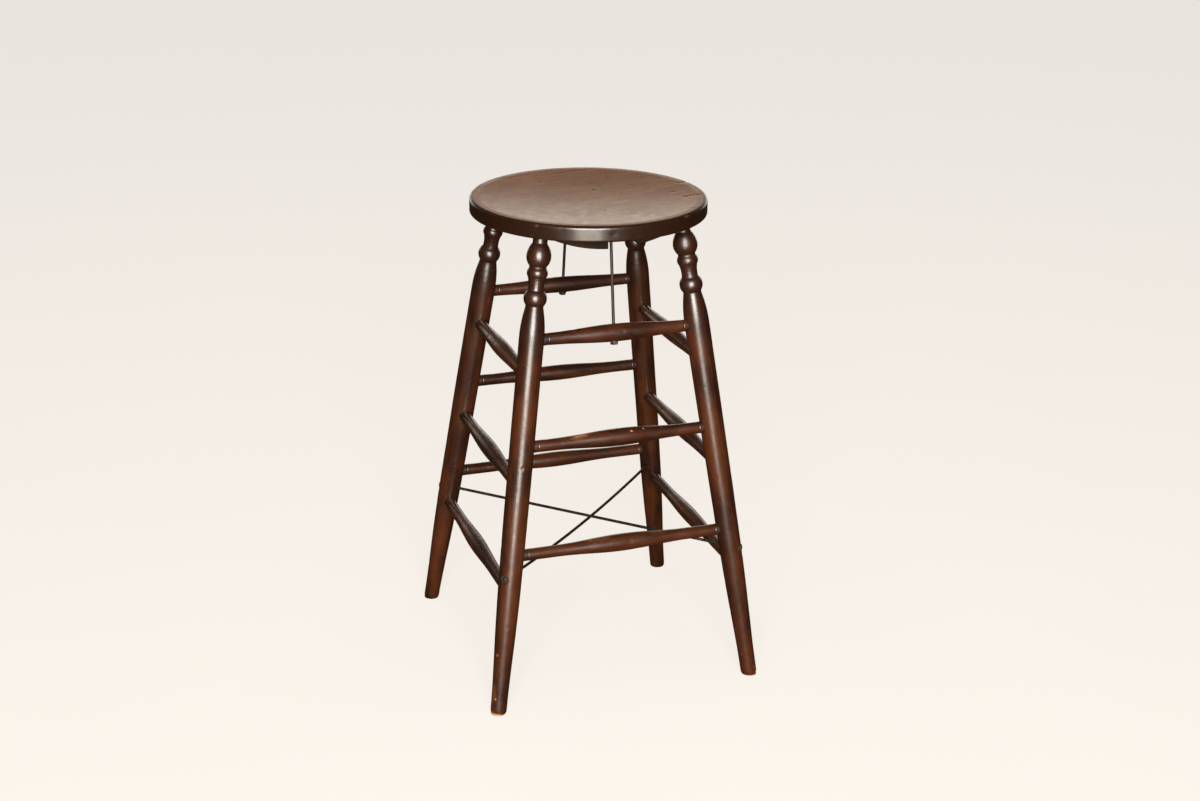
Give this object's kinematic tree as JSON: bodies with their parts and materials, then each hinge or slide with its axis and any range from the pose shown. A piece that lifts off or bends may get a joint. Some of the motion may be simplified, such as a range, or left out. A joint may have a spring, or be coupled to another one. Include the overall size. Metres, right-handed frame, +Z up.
{
  "type": "tall turned stool",
  "caption": "Tall wooden stool with a round dished seat, splayed turned legs with ball turnings, tiers of rungs, and iron tie rods and cross rods.",
  "frame": {"origin": "on the floor, at the centre of the four feet and below the centre of the seat", "axes": "+Z up from the floor to the seat; +X from the left legs to the right legs along the front rungs; -Y faces the viewer who stands before the front rungs"},
  "size_m": [0.4428, 0.4428, 0.75],
  "materials": {
    "seat_wood": "satin, dark stained and waxed, worn top",
    "leg_wood": "satin french polish over dark stain",
    "rung_wood": "satin french polish over dark stain, worn",
    "bearer_wood": "dull dark stain",
    "rod_iron": "dark oiled iron",
    "fixing_iron": "dark worn iron"
  },
  "bodies": {
    "root": {"seat": "seat_wood", "leg_front_left": "leg_wood", "leg_front_right": "leg_wood", "leg_back_left": "leg_wood", "leg_back_right": "leg_wood", "rung_front_top": "rung_wood", "rung_front_middle": "rung_wood", "rung_front_bottom": "rung_wood", "rung_back_top": "rung_wood", "rung_back_middle": "rung_wood", "rung_back_bottom": "rung_wood", "rung_left_top": "rung_wood", "rung_left_middle": "rung_wood", "rung_left_bottom": "rung_wood", "rung_right_top": "rung_wood", "rung_right_middle": "rung_wood", "rung_right_bottom": "rung_wood", "seat_bearer_front": "bearer_wood", "tie_rod_front": "rod_iron", "tie_rod_washer_front": "fixing_iron", "tie_rod_nut_front": "fixing_iron", "seat_bearer_back": "bearer_wood", "tie_rod_back": "rod_iron", "tie_rod_washer_back": "fixing_iron", "tie_rod_nut_back": "fixing_iron", "bearer_screws": "fixing_iron", "cross_rod_straight": "rod_iron", "cross_rod_bowed": "rod_iron", "cross_rod_washers": "fixing_iron"}
  },
  "joints": []
}
